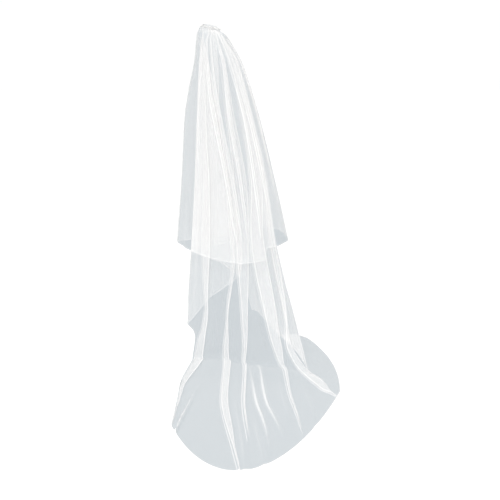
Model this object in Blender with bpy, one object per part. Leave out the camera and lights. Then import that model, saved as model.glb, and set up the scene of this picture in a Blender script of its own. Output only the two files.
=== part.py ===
"""A two-tier cathedral bridal veil in plain net, as it hangs from its hair comb with no wearer.

Metres, +Z up. The origin is the middle of the comb's bar, where the hair holds it. The back of the
veil faces -Y and the train runs that way over the floor. The hollow for the wearer opens to +Y.

Each tier is one panel of net, drawn as a wall of even thickness. A place on a tier is given by:
  across  0 at the left edge of the back, 1 at its right edge, 2 at the free edge of the far side,
          and -1 at the free edge of the front, where the tier has one;
  level   0 at the top edge of the gathers, then one for each row of the tier's table of levels;
  proud   how far the net stands outside the tier's plain surface (inside it, where negative).
Lines down the net, each a course of across and proud over the levels, carry the folds.
"""

import math

import bpy
import numpy as np

# Driving sizes
COMB_HEIGHT = 1.600           # from the floor to the comb's bar
COMB_WIDTH = 0.100
COMB_TURN = math.radians(12)  # the wearer's head is turned a little from the train
COMB_TILT = math.radians(9)   # the comb's right end sits lower in the hair
BAR_DEPTH = 0.0030
BAR_HEIGHT = 0.0040
TOOTH_COUNT = 22
TOOTH_LENGTH = 0.038
TOOTH_WIDTH = 0.0016
TOOTH_LEAN = math.radians(34)
NET_WALL = 0.0011
SEAM_GAP = 0.0003             # between pieces that touch
FOLD_STEP = 0.0022            # from one layer of a flat fold to the next, at the comb
FLAT_STEP = 0.0015            # between a fold's lines where it has opened out flat

BELOW_HEM = 99.0              # a level under every hem
FLOOR = -COMB_HEIGHT
NET_ON_FLOOR = FLOOR + NET_WALL / 2
PLEAT_DEPTH = 2 * FOLD_STEP
LONG_SET_BACK = BAR_DEPTH / 2 + SEAM_GAP + NET_WALL / 2
UPPER_SET_BACK = LONG_SET_BACK + PLEAT_DEPTH + NET_WALL + SEAM_GAP
LONG_INSET = 0.006            # the long tier's gathers stop this far short of the comb's ends
FRONT_AT_COMB = 0.0095        # of the comb's left end, taken by the upper tier's front
TURN_AT = 0.0286              # along the comb, where the gathers pass from the back to the far side
LONG_TOP = 0.007              # the raw top edges stand this high over the bar
UPPER_TOP = 0.009
STITCHES = -0.010
UPPER_STITCHES = -0.009
TOP_LEAN = 0.014              # by which the raw top edges run out past the comb's right end


def comb_point(along, behind):
    """A point at the comb: along it from its middle, and behind it, away from the head."""
    x = along * math.cos(COMB_TURN) + behind * math.sin(COMB_TURN)
    y = along * math.sin(COMB_TURN) - behind * math.cos(COMB_TURN)
    return x, y


def tilted(x, y, z, angle):
    """Turns points about the comb's middle, in the comb's own plane."""
    along = x * math.cos(COMB_TURN) + y * math.sin(COMB_TURN)
    behind = x * math.sin(COMB_TURN) - y * math.cos(COMB_TURN)
    moved = along * np.cos(angle) + z * np.sin(angle)
    return *comb_point(moved, behind), z * np.cos(angle) - along * np.sin(angle)


def gathered_row(name, height, set_back, inset, front=0.0, lean=0.0):
    """The straight section at the comb."""
    end = COMB_WIDTH / 2 - inset
    first = comb_point(lean / 2 - end, set_back)
    left = comb_point(lean / 2 + front - end, set_back)
    right = comb_point(lean * 0.8 + TURN_AT, set_back)
    far = comb_point(lean + end, set_back)
    return (name, height, *left, *right, 0.0, 0.0, *far, 0.0, *first, 0.0)


LEVEL_COLUMNS = ("name", "height", "left_x", "left_y", "right_x", "right_y", "belly", "aside",
                 "far_x", "far_y", "far_belly", "front_x", "front_y", "front_belly")

LONG_LEVELS = (
    gathered_row("top", LONG_TOP, LONG_SET_BACK, LONG_INSET, lean=TOP_LEAN),
    gathered_row("stitch", STITCHES, LONG_SET_BACK, LONG_INSET),
    # name      height  left_x  left_y  right_x right_y belly aside  far_x  far_y  far_belly
    ("wrap", -0.032, -0.037, -0.014, 0.054, -0.004, 0.016, 0.0, 0.054, 0.022, 0.002),
    ("crown", -0.060, -0.040, -0.016, 0.072, -0.004, 0.030, 0.0, 0.064, 0.056, 0.004),
    ("head", -0.160, -0.0535, -0.010, 0.122, 0.008, 0.068, 0.0, 0.104, 0.150, 0.012),
    ("shoulder", -0.420, -0.0690, 0.000, 0.197, 0.020, 0.105, 0.0, 0.134, 0.225, 0.020),
    ("waist", -0.730, -0.0845, 0.000, 0.267, 0.010, 0.130, 0.0, 0.178, 0.245, 0.024),
    ("hip", -1.040, -0.1055, -0.010, 0.318, -0.020, 0.150, 0.0, 0.180, 0.250, 0.028),
    ("knee", -1.330, -0.1265, -0.040, 0.393, -0.110, 0.145, 0.0, 0.178, 0.290, 0.030),
    ("shin", -1.500, -0.116, -0.090, 0.438, -0.240, 0.110, 0.0, 0.208, 0.390, 0.030),
    ("foot", NET_ON_FLOOR, -0.090, -0.150, 0.476, -0.385, 0.070, 0.0, 0.290, 0.480, 0.030),
    ("train", NET_ON_FLOOR, -0.146, -0.500, 0.548, -0.480, 0.390, 0.030, 0.330, 0.535, 0.070),
    ("hem", NET_ON_FLOOR, -0.142, -0.947, 0.589, -0.608, 0.642, 0.034, 0.345, 0.560, 0.095),
)

UPPER_LEVELS = (
    gathered_row("top", UPPER_TOP, UPPER_SET_BACK, 0.0, FRONT_AT_COMB, TOP_LEAN),
    gathered_row("stitch", UPPER_STITCHES, UPPER_SET_BACK, 0.0, FRONT_AT_COMB),
    # name      height  left_x  left_y  right_x right_y belly aside  far_x  far_y  far_bl
    #           front_x front_y front_belly
    ("wrap", -0.032, -0.0575, -0.020, 0.070, -0.014, 0.026, 0.0, 0.070, 0.030, 0.002,
     -0.0545, -0.002, 0.001),
    ("crown", -0.060, -0.0625, -0.024, 0.084, -0.014, 0.045, 0.0, 0.080, 0.078, 0.004,
     -0.0395, 0.012, 0.015),
    ("head", -0.160, -0.0775, -0.008, 0.136, 0.002, 0.090, 0.0, 0.119, 0.176, 0.014,
     -0.0125, 0.040, 0.026),
    ("shoulder", -0.420, -0.1295, 0.010, 0.226, 0.024, 0.150, 0.0, 0.156, 0.262, 0.030,
     0.0405, 0.052, 0.030),
    ("waist", -0.730, -0.1505, 0.015, 0.303, 0.024, 0.172, 0.0, 0.218, 0.285, 0.034,
     0.0995, 0.060, 0.040),
    ("hip", -1.040, -0.179, 0.022, 0.379, 0.012, 0.225, 0.0, 0.262, 0.300, 0.040,
     0.1505, 0.070, 0.036),
    ("hem", -1.120, -0.183, 0.024, 0.396, 0.002, 0.250, 0.0, 0.274, 0.306, 0.040,
     0.1605, 0.072, 0.036),
)
# How much of the comb's tilt the net has, down the levels
TILT_SHARES = ((0.0, 1.0), (1.0, 1.0), (2.0, 0.6), (3.0, 0.2), (4.0, 0.0), (BELOW_HEM, 0.0))

# Flat folds, three layers deep. along_comb is metres from the comb's left end. Then two tables give
# the place across the tier and the fold's width in metres, down the tier's named levels. At the
# level called narrow the fold has drawn in to a pleat, and at the level called flat it has gone.
FOLD_COLUMNS = ("name", "along_comb", "narrow", "flat", "hem", "places", "widths")
FOLD_LEVELS = ("head", "shoulder", "waist", "hip", "knee", "shin", "foot", "train", "hem")

LONG_FOLDS = (
    # name        along narrow flat  hem    head   shldr  waist  hip    knee   shin   foot   train  hem
    ("left fan", 0.0433, 11.67, 12.33, 12.0,
     (0.180, 0.185, 0.200, 0.207, 0.207, 0.135, 0.054, 0.054, 0.028),
     (0.003, 0.010, 0.030, 0.050, 0.020, 0.040, 0.054, 0.030, 0.001)),
    ("lens fold", 0.0506, 11.67, 12.33, 12.0,
     (0.440, 0.410, 0.480, 0.510, 0.413, 0.353, 0.304, 0.380, 0.450),
     (0.026, 0.012, 0.004, 0.004, 0.004, 0.021, 0.032, 0.027, 0.001)),
    ("long fold", 0.0579, 11.0, 11.67, 12.0,
     (0.655, 0.625, 0.640, 0.607, 0.560, 0.515, 0.456, 0.498, 0.510),
     (0.012, 0.032, 0.054, 0.048, 0.024, 0.013, 0.006, 0.002, 0.001)),
    ("broad fold", 0.0652, 11.33, 12.0, 12.0,
     (0.870, 0.880, 0.845, 0.775, 0.784, 0.784, 0.778, 0.778, 0.776),
     (0.026, 0.036, 0.060, 0.070, 0.054, 0.036, 0.008, 0.004, 0.001)),
    ("edge fold", 0.0725, 11.67, 12.33, 12.0,
     (0.985, 0.982, 0.978, 0.972, 0.935, 0.885, 0.960, 0.958, 0.976),
     (0.001, 0.001, 0.001, 0.001, 0.002, 0.018, 0.044, 0.054, 0.001)),
    ("far fold", 0.0863, 8.33, 9.0, 12.0,
     (1.450, 1.400, 1.380, 1.360, 1.340, 1.340, 1.340, 1.340, 1.340),
     (0.002, 0.004, 0.008, 0.012, 0.012, 0.012, 0.012, 0.012, 0.012)),
)
# Plain lines of the far side, as places across and the levels of the hem there
LONG_FAR_LINES = (
    (1.70, 12.0), (1.74, 11.2), (1.77, 10.2), (1.80, 9.4), (1.84, 9.0), (1.90, 8.88), (2.0, 8.85))

UPPER_FOLDS = (
    # name          along narrow flat  hem    head   shldr  waist  hip
    ("left gather", 0.0160, 5.0, 6.0, 7.32, (0.200, 0.220, 0.220, 0.220), (0.002, 0.002, 0.002, 0.002)),
    ("left fold", 0.0420, 6.0, 7.0, 7.74, (0.330, 0.440, 0.520, 0.570), (0.009, 0.006, 0.004, 0.002)),
    ("mid gather", 0.0493, 6.0, 7.0, 7.74, (0.435, 0.515, 0.580, 0.620), (0.002, 0.002, 0.002, 0.002)),
    ("right fold", 0.0566, 6.0, 7.0, 7.74, (0.675, 0.640, 0.660, 0.660), (0.005, 0.010, 0.008, 0.002)),
    ("right gather", 0.0639, 6.0, 7.0, 7.68, (0.780, 0.815, 0.795, 0.768), (0.003, 0.006, 0.004, 0.002)),
    ("edge gather", 0.0712, 5.5, 6.5, 7.06, (0.870, 0.885, 0.890, 0.880), (0.002, 0.002, 0.002, 0.002)),
    ("far gather", 0.0875, 5.5, 6.5, 6.88, (1.450, 1.420, 1.410, 1.400), (0.002, 0.006, 0.004, 0.002)),
)
# Past the right gather the hem steps up: the part of the way to the next gather, and the hem there
HEM_STEP = (0.30, 7.04)
UPPER_RIGHT_HEM = 6.97
UPPER_FAR_HEM = 6.80
UPPER_LEFT_HEM = 7.0
UPPER_FRONT_HEM = 6.88


def steady_curve(at, places, values):
    """A smooth curve through values at rising places, which never swings past them."""
    places = np.asarray(places, float)
    values = np.asarray(values, float)
    gaps = np.diff(places)
    steps = np.diff(values) / gaps
    slopes = np.zeros(len(values))
    before, after = steps[:-1], steps[1:]
    weight_before = 2 * gaps[1:] + gaps[:-1]
    weight_after = gaps[1:] + 2 * gaps[:-1]
    same_way = before * after > 0
    share = np.where(same_way, weight_before * after + weight_after * before, 1.0)
    slopes[1:-1] = np.where(
        same_way, before * after * (weight_before + weight_after) / share, 0.0)
    slopes[0], slopes[-1] = steps[0], steps[-1]
    at = np.clip(at, places[0], places[-1])
    low = np.clip(np.searchsorted(places, at, side="right") - 1, 0, len(gaps) - 1)
    gap = gaps[low]
    t = (at - places[low]) / gap
    return (values[low] * (1 + 2 * t) * (1 - t) ** 2 + slopes[low] * gap * t * (1 - t) ** 2
            + values[low + 1] * t * t * (3 - 2 * t) - slopes[low + 1] * gap * t * t * (1 - t))


def course(levels, values):
    """A smooth course down the net, steady above and below its levels."""
    return lambda level: steady_curve(level, levels, values)


def steady(value):
    return lambda level: np.full(np.shape(level), float(value))


class Tier:
    """The plain surface of one tier, with no folds."""

    def __init__(self, rows, comb_start, comb_end):
        self.table = dict(zip(LEVEL_COLUMNS, zip(*rows)))
        self.levels = np.arange(float(len(rows)))
        self.comb_start = comb_start
        self.comb_end = comb_end

    def level_of(self, *names):
        return [float(self.table["name"].index(name)) for name in names]

    def across_comb(self, along):
        """The place across of a point along the comb, from the comb's left end."""
        back = COMB_WIDTH / 2 + TURN_AT
        if along <= back:
            return (along - self.comb_start) / (back - self.comb_start)
        return 1 + (along - back) / (COMB_WIDTH - self.comb_end - back)

    def plain(self, across, level):
        """Points of the plain surface."""
        get = {name: steady_curve(level, self.levels, values)
               for name, values in self.table.items() if name != "name"}
        back_x = get["left_x"] + across * (get["right_x"] - get["left_x"])
        back_y = get["left_y"] + across * (get["right_y"] - get["left_y"])
        back_y = back_y - get["belly"] * 4 * across * (1 - across)
        back_x = back_x - get["aside"] * 4 * across * (1 - across)
        past = across - 1
        deep_x = get["far_x"] - get["right_x"]
        deep_y = get["far_y"] - get["right_y"]
        bulge = get["far_belly"] * 4 * past * (1 - past) / np.hypot(deep_x, deep_y)
        far_x = get["right_x"] + past * deep_x + bulge * deep_y
        far_y = get["right_y"] + past * deep_y - bulge * deep_x
        x = np.where(across <= 1, back_x, far_x)
        y = np.where(across <= 1, back_y, far_y)
        if "front_x" in get:
            front_x = get["left_x"] - across * (get["front_x"] - get["left_x"])
            front_y = get["left_y"] - across * (get["front_y"] - get["left_y"])
            front_y = front_y - get["front_belly"] * 4 * across * (1 + across)
            x = np.where(across < 0, front_x, x)
            y = np.where(across < 0, front_y, y)
        angle = COMB_TILT * steady_curve(level, *zip(*TILT_SHARES))
        return np.stack(tilted(x, y, get["height"], angle), axis=-1)

    def sideways(self, across, level, by=1e-4):
        """The surface's step for one unit of across."""
        side = np.where((across > 1) | (across == 0), by, -by)
        step = self.plain(across + side, level) - self.plain(across, level)
        return step / side[:, None]

    def pace(self, across, level):
        """Metres of surface for one unit of across."""
        return np.linalg.norm(self.sideways(across, level), axis=-1)

    def point(self, across, level, proud, by=1e-3):
        """Points proud of the plain surface, or moved towards +Y where proud is negative."""
        fall = self.plain(across, level + by) - self.plain(across, level - by)
        out = np.cross(fall, self.sideways(across, level))
        out /= np.linalg.norm(out, axis=-1)[:, None]
        inward = np.array([0.0, -1.0, 0.0])
        away = np.where((proud > 0)[:, None], out, inward)
        return self.plain(across, level) + proud[:, None] * away


class Line:
    """A line down the net: across and proud as courses over the levels, and the level of its hem."""

    def __init__(self, across, proud, hem):
        self.across = across
        self.proud = proud
        self.hem = hem


def between(first, second, part, hem):
    """The line a part of the way from one line to another, where part is a course."""
    return Line(
        lambda level: first.across(level) * (1 - part(level)) + second.across(level) * part(level),
        lambda level: first.proud(level) * (1 - part(level)) + second.proud(level) * part(level),
        hem,
    )


# A flat fold's eight lines, in order. side counts half widths of the fold from its middle, then
# radius counts fold radii, ramp counts the run in which the net rises over the fold, and layer
# counts fold steps of height.
FLAT_FOLD = (
    # side radius ramp layer
    (-1, 0.0, -1.0, 0.0),
    (-1, 0.0, -0.3, 2.0),
    (1, 0.0, 0.0, 2.0),
    (1, 1.0, 0.0, 1.6),
    (1, 0.0, 0.0, 1.2),
    (-1, 0.0, 0.0, 0.8),
    (-1, -1.0, 0.0, 0.4),
    (-1, 0.0, 0.0, 0.0),
)
FOLD_STEPS = ((0.0, FOLD_STEP), (1.0, FOLD_STEP), (4.0, 0.0030), (7.0, 0.0050), (10.0, 0.0056))
MIDDLE_LINE = (len(FLAT_FOLD) - 1) / 2
PLEAT_WIDTH = 0.001
RAMP_AT_COMB = 0.0045
RAMP_BELOW = 0.0100


def flat_fold(tier, row):
    """The lines of one flat fold."""
    fold = dict(zip(FOLD_COLUMNS, row))
    levels = LONG.level_of(*FOLD_LEVELS[:len(fold["places"])])
    start = tier.across_comb(fold["along_comb"])
    middle = course([0.0, 1.0, *levels], [start, start, *fold["places"]])
    widths = [(level, width) for level, width in zip(levels, fold["widths"]) if level < fold["narrow"]]
    wide = course(*zip((0.0, PLEAT_WIDTH), (1.0, PLEAT_WIDTH), *widths, (fold["narrow"], PLEAT_WIDTH)))
    step = course(*zip(*FOLD_STEPS))
    folded = course([0.0, fold["narrow"], fold["flat"], BELOW_HEM], [1.0, 1.0, 0.0, 0.0])
    head = LONG.level_of("head")[0]
    ramp = course([0.0, 1.0, head, BELOW_HEM], [RAMP_AT_COMB, RAMP_AT_COMB, RAMP_BELOW, RAMP_BELOW])
    lines = []
    for order, (side, radius, run, layer) in enumerate(FLAT_FOLD):
        def across(level, order=order, side=side, radius=radius, run=run):
            mid = middle(level)
            aside = side * wide(level) / 2 + radius * step(level) / 2 + run * ramp(level)
            flat = (order - MIDDLE_LINE) * FLAT_STEP
            metres = folded(level) * aside + (1 - folded(level)) * flat
            return mid + metres / tier.pace(mid, level)

        def proud(level, layer=layer):
            return folded(level) * layer * step(level)

        lines.append(Line(across, proud, fold["hem"]))
    return lines


LONG = Tier(LONG_LEVELS, LONG_INSET, LONG_INSET)
UPPER = Tier(UPPER_LEVELS, FRONT_AT_COMB, 0.0)

# The long tier's left side falls in a cascade: the cut edge, then three folds that take the net to
# and fro behind the back. side is where each fold points, depth is its place behind the back in
# steps of the cascade, and hem is the level where the cut crosses it. panel_hem is where the cut
# crosses the panel that leads to the fold, PANEL_PART of the way there.
CASCADE_COLUMNS = ("name", "side", "along_comb", "depth", "panel_hem", "hem")
CASCADE = (
    ("outer fold", -1, 0.0101, 2.5, 7.02, 7.16),
    ("inner fold", 1, 0.0137, 1.5, 7.25, 7.44),
    ("left fold", -1, 0.0173, 0.5, 7.92, 8.60),
)
CUT_EDGE_HEM = 6.88
PANEL_PART = 0.6
CASCADE_LEVELS = ("crown", "head", "shoulder", "waist", "hip", "knee")
CASCADE_STEPS = (0.0050, 0.0080, 0.0120, 0.0140, 0.0150, 0.0150)
CASCADE_LEFT = 0.02
CASCADE_RIGHT = (0.10, 0.25, 0.40, 0.525, 0.590, 0.470)
CUT_ASIDE = 0.12              # across, by which the left folds run off to the side on the floor
CUT_EDGE_DEPTH = 3            # steps of the cascade
# The cut edge's lines between the left fold and the first flat fold: the part of the way at the
# comb and below the knee, and the hem's level
CUT_LINES = (
    # comb below hem
    (0.12, 0.50, 8.75),
    (0.24, 0.76, 8.95),
    (0.38, 0.84, 9.50),
    (0.50, 0.89, 10.00),
    (0.60, 0.92, 10.67),
    (0.69, 0.95, 11.20),
    (0.78, 0.975, 11.67),
)
TURNS = np.radians([-90, -45, 0, 45, 90])


def cascade_lines(tier):
    """The cut edge and the folds behind the back's left side."""
    levels = [0.0, 1.0, *tier.level_of(*CASCADE_LEVELS)]
    step = course(levels, [FOLD_STEP, FOLD_STEP, *CASCADE_STEPS])
    crown, foot = tier.level_of("crown", "foot")
    swing = course([0.0, 1.0, crown, BELOW_HEM], [0.0, 0.0, math.pi / 2, math.pi / 2])
    cut_across = course(levels, [0.0, 0.0, *CASCADE_RIGHT])
    cut_proud = course(levels, [0.0, 0.0, *(-CUT_EDGE_DEPTH * width for width in CASCADE_STEPS)])
    lines = [Line(cut_across, cut_proud, CUT_EDGE_HEM)]
    for row in CASCADE:
        fold = dict(zip(CASCADE_COLUMNS, row))
        side, depth = fold["side"], fold["depth"]
        start = tier.across_comb(fold["along_comb"])
        places = CASCADE_RIGHT if side > 0 else [CASCADE_LEFT] * len(CASCADE_LEVELS)
        side_step = 0.0 if side > 0 else CUT_ASIDE
        middle = course([*levels, foot], [start, start, *places, places[-1] - side_step])
        rest = FOLD_STEP / 2 if side > 0 else PLEAT_DEPTH - FOLD_STEP / 2
        height = course(levels, [rest, rest, *(-depth * width for width in CASCADE_STEPS)])
        turned = []
        for turn in TURNS:
            def across(level, side=side, middle=middle, turn=turn):
                angle = swing(level)
                along, out = math.sin(turn), -side * math.cos(turn)
                metres = step(level) / 2 * (along * np.cos(angle) - out * np.sin(angle))
                mid = middle(level)
                return mid + metres / tier.pace(mid, level)

            def proud(level, side=side, height=height, turn=turn):
                angle = swing(level)
                along, out = math.sin(turn), -side * math.cos(turn)
                return height(level) + step(level) / 2 * (along * np.sin(angle) + out * np.cos(angle))

            turned.append(Line(across, proud, fold["hem"]))
        lines.append(between(lines[-1], turned[0], steady(PANEL_PART), fold["panel_hem"]))
        lines += turned
    return lines


def spread(tier, lines, widest):
    """Adds lines between those that stand wider apart than this at any named level."""
    filled = [lines[0]]
    for first, second in zip(lines, lines[1:]):
        gaps = []
        shared_hem = min(first.hem, second.hem)
        for share in WIDTH_TAKEN_AT:
            level = np.array([share * shared_hem])
            ends = []
            for line in (first, second):
                ends.append(tier.point(line.across(level), level, line.proud(level))[0])
            gaps.append(np.linalg.norm(ends[1] - ends[0]))
        count = int(np.mean(gaps) / widest)
        for order in range(count):
            part = (order + 1) / (count + 1)
            hem = first.hem * (1 - part) + second.hem * part
            filled.append(between(first, second, steady(part), hem))
        filled.append(second)
    return filled


def column_levels(line, rows):
    """The levels of a line's points: the rows above its hem, then the hem."""
    return np.append(rows[rows < line.hem - LEAST_ROW], line.hem)


def unit(vectors):
    return vectors / np.maximum(np.linalg.norm(vectors, axis=-1, keepdims=True), 1e-12)


def net_column(tier, lines, index, rows):
    """Points down one line of the net, and half the wall's thickness as a step from each, mitred
    where the net folds."""
    levels = column_levels(lines[index], rows)
    before = max(index - 1, 0)
    after = min(index + 1, len(lines) - 1)
    places = {}
    for order in {before, index, after}:
        line = lines[order]
        places[order] = tier.point(line.across(levels), levels, line.proud(levels))
    middle = places[index]
    into = middle - places[before] if before != index else places[after] - middle
    out_of = places[after] - middle if after != index else into
    down = unit(np.gradient(middle, axis=0))
    face_in = unit(np.cross(down, unit(into)))
    face_out = unit(np.cross(down, unit(out_of)))
    between_faces = unit(face_in + face_out)
    square = np.maximum(np.sum(between_faces * face_in, axis=-1, keepdims=True), SHARPEST_MITRE)
    return middle, between_faces * NET_WALL / 2 / square


def net_faces(counts):
    """Faces of a wall of net, whose lines have these counts of points: two faces and a rim."""
    firsts = np.concatenate([[0], np.cumsum(counts)]).tolist()
    total = firsts[-1]
    front = []
    for line in range(len(counts) - 1):
        first, second = firsts[line], firsts[line + 1]
        short = min(counts[line], counts[line + 1])
        for row in range(short - 1):
            front.append((first + row, first + row + 1, second + row + 1, second + row))
        for row in range(short - 1, counts[line + 1] - 1):
            front.append((first + short - 1, second + row + 1, second + row))
        for row in range(short - 1, counts[line] - 1):
            front.append((first + row, first + row + 1, second + short - 1))
    back = [tuple(total + point for point in face[:1] + face[:0:-1]) for face in front]
    lasts = [first - 1 for first in firsts[1:]]
    rim = firsts[:-1] + list(range(firsts[-2] + 1, total))
    rim += lasts[-2::-1] + list(range(lasts[0] - 1, 0, -1))
    edge = [(first, second, total + second, total + first)
            for first, second in zip(rim, rim[1:] + rim[:1])]
    return front + back + edge


def matter(name, colour, roughness):
    """A plain material."""
    material = bpy.data.materials.new(name)
    material.use_nodes = True
    shader = material.node_tree.nodes["Principled BSDF"]
    shader.inputs["Base Color"].default_value = (*colour, 1.0)
    shader.inputs["Roughness"].default_value = roughness
    shader.inputs["Metallic"].default_value = 0.0
    return material


def add_object(name, points, faces, material):
    mesh = bpy.data.meshes.new(name)
    mesh.from_pydata([tuple(point) for point in points], [], faces)
    mesh.validate()
    mesh.update()
    piece = bpy.data.objects.new(name, mesh)
    piece.data.materials.append(material)
    bpy.context.scene.collection.objects.link(piece)
    return piece


def add_net(name, tier, lines, counts, material):
    """One tier's wall, as a closed solid."""
    rows = rows_between(counts)
    columns = [net_column(tier, lines, index, rows) for index in range(len(lines))]
    outer = np.concatenate([middle + step for middle, step in columns])
    inner = np.concatenate([middle - step for middle, step in columns])
    points = np.concatenate([outer, inner])
    points[:, 2] = np.maximum(points[:, 2], FLOOR)
    piece = add_object(name, points, net_faces([len(middle) for middle, _ in columns]), material)
    piece.data.shade_smooth()
    return piece


# The comb's bar as a section of depths and heights, and a tooth as a table of sections down it
BAR_SECTION = ((0.5, -0.5), (0.5, 0.2), (0.25, 0.5), (-0.25, 0.5), (-0.5, 0.2), (-0.5, -0.5))
TOOTH_SECTIONS = (
    # down lean width depth
    (0.15, 0.06, 0.90, 0.70),
    (0.60, 0.50, 0.75, 0.55),
    (1.00, 1.00, 0.30, 0.30),
)


def rows_between(counts):
    """Rows of points: a count of them from each level to the next."""
    rows = [0.0]
    for level, count in enumerate(counts):
        rows += [level + (order + 1) / count for order in range(count)]
    return np.array(rows)


LONG_ROWS = (1, 2, 2, 2, 2, 2, 2, 2, 3, 2, 3, 3)
UPPER_ROWS = (1, 2, 2, 2, 3, 2, 2, 2)
WIDEST_PANEL = 0.055
WIDTH_TAKEN_AT = (0.3, 0.5, 0.7, 1.0)
LEAST_ROW = 0.15              # of a level, from the last row to the hem
SHARPEST_MITRE = 0.68         # cosine of the most that a corner of the wall is mitred for


def add_long_tier(material):
    lines = cascade_lines(LONG)
    left_fold = lines[-1]
    first_fold = flat_fold(LONG, LONG_FOLDS[0])
    for at_comb, below, hem in CUT_LINES:
        part = course([0.0, 1.0, *LONG.level_of("shoulder", "knee")], [at_comb, at_comb, below, below])
        lines.append(between(left_fold, first_fold[0], part, hem))
    lines += first_fold
    for row in LONG_FOLDS[1:]:
        if row[0] == "far fold":
            lines.append(Line(steady(1.0), steady(0.0), LONG.levels[-1]))
        lines += flat_fold(LONG, row)
    lines += [Line(steady(across), steady(0.0), hem) for across, hem in LONG_FAR_LINES]
    return add_net("long_tier", LONG, spread(LONG, lines, WIDEST_PANEL), LONG_ROWS, material)


def add_upper_tier(material):
    lines = [
        Line(steady(-1.0), steady(0.0), UPPER_FRONT_HEM),
        Line(steady(0.0), steady(0.0), UPPER_LEFT_HEM),
    ]
    for row in UPPER_FOLDS:
        if row[0] == "far gather":
            lines.append(Line(steady(1.0), steady(0.0), UPPER_RIGHT_HEM))
        fold_lines = flat_fold(UPPER, row)
        if row[0] == "edge gather":
            lines.append(between(lines[-1], fold_lines[0], steady(HEM_STEP[0]), HEM_STEP[1]))
        lines += fold_lines
    lines.append(Line(steady(2.0), steady(0.0), UPPER_FAR_HEM))
    lines = spread(UPPER, lines, WIDEST_PANEL)
    return add_net("upper_tier", UPPER, lines, UPPER_ROWS, material)


def comb_points():
    """The comb's points and faces: a bar in cells, with a tooth drawn out of every other one."""
    points, faces = [], []

    def place(along, behind, height):
        points.append(tilted(*comb_point(along, behind), height, COMB_TILT))
        return len(points) - 1

    cells = 2 * TOOTH_COUNT - 1
    gap = (COMB_WIDTH - TOOTH_COUNT * TOOTH_WIDTH) / (TOOTH_COUNT - 1)
    stations = [-COMB_WIDTH / 2]
    for cell in range(cells):
        stations.append(stations[-1] + (gap if cell % 2 else TOOTH_WIDTH))
    rings = []
    for along in stations:
        rings.append([place(along, behind * BAR_DEPTH, height * BAR_HEIGHT)
                      for behind, height in BAR_SECTION])
    sides = len(BAR_SECTION)
    for cell in range(cells):
        near, far = rings[cell], rings[cell + 1]
        for side in range(sides - 1):
            faces.append((near[side], far[side], far[side + 1], near[side + 1]))
        root = (near[sides - 1], far[sides - 1], far[0], near[0])
        if cell % 2:
            faces.append(root)
            continue
        middle = (stations[cell] + stations[cell + 1]) / 2
        for down, lean, width, depth in TOOTH_SECTIONS:
            drop = -BAR_HEIGHT / 2 - down * TOOTH_LENGTH * math.cos(TOOTH_LEAN)
            inward = -lean * TOOTH_LENGTH * math.sin(TOOTH_LEAN)
            half_width, half_depth = width * TOOTH_WIDTH / 2, depth * BAR_DEPTH / 2
            tip = [place(middle + along * half_width, inward + behind * half_depth, drop)
                   for along, behind in ((-1, -1), (1, -1), (1, 1), (-1, 1))]
            for side in range(4):
                after = (side + 1) % 4
                faces.append((root[side], root[after], tip[after], tip[side]))
            root = tip
        faces.append(tuple(root))
    faces.append(tuple(rings[0]))
    faces.append(tuple(reversed(rings[-1])))
    return points, faces


def add_comb(material):
    """The hair comb, one moulding."""
    return add_object("comb", *comb_points(), material)


def main():
    for old in list(bpy.data.objects):
        bpy.data.objects.remove(old)
    add_long_tier(matter("long_net", (0.86, 0.88, 0.90), 0.55))
    add_upper_tier(matter("upper_net", (0.92, 0.93, 0.95), 0.55))
    add_comb(matter("clear_plastic", (0.80, 0.80, 0.78), 0.25))


main()
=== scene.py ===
"""A two-tier cathedral bridal veil in plain net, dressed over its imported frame.

Metres, +Z up, in the frame's own axes: the origin is the middle of the comb's bar, the back of the
veil faces -Y, and the train lies on the floor 1.6 m below the comb.

Each tier is one sheet of net. A place on a tier is given by:
  across  0 at the left edge of the back, 1 at its right edge, 2 at the free edge of the far side,
          and -1 at the free edge of the front, where the tier has one;
  level   0 at the top edge of the gathers, then one for each row of the tier's table of levels;
  proud   how far the net stands outside the tier's plain surface (inside it, where negative).
Lines down the net, each a course of across and proud over the levels, carry the folds. Creases and
ripples then move the net out or in, the same for all the layers of a fold.
"""

import math

import bmesh
import bpy
import numpy as np
from mathutils import Matrix, Vector


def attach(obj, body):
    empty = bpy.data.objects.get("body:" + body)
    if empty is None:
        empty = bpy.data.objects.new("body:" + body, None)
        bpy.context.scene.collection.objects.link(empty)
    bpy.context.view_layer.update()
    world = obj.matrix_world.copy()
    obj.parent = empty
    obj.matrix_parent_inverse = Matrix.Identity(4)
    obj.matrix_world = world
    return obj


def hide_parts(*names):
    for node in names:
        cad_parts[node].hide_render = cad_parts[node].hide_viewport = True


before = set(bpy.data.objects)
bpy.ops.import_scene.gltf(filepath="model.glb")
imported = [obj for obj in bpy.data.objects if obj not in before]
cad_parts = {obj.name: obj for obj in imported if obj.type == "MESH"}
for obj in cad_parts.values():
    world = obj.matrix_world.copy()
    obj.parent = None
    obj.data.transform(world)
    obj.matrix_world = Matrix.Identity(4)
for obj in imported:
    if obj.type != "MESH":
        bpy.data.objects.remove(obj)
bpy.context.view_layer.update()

# Driving sizes
COMB_HEIGHT = 1.600           # from the floor to the comb's bar
COMB_WIDTH = 0.100
COMB_TURN = math.radians(12)  # the wearer's head is turned a little from the train
COMB_TILT = math.radians(9)   # the comb's right end sits lower in the hair
BAR_DEPTH = 0.0030
BAR_HEIGHT = 0.0040
TOOTH_COUNT = 22
TOOTH_LENGTH = 0.038
TOOTH_WIDTH = 0.0016
TOOTH_LEAN = math.radians(34)
NET_WALL = 0.0011
SEAM_GAP = 0.0003
FOLD_STEP = 0.0022            # from one layer of a flat fold to the next, at the comb
FLAT_STEP = 0.0015            # between a fold's lines where it has opened out flat

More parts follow.
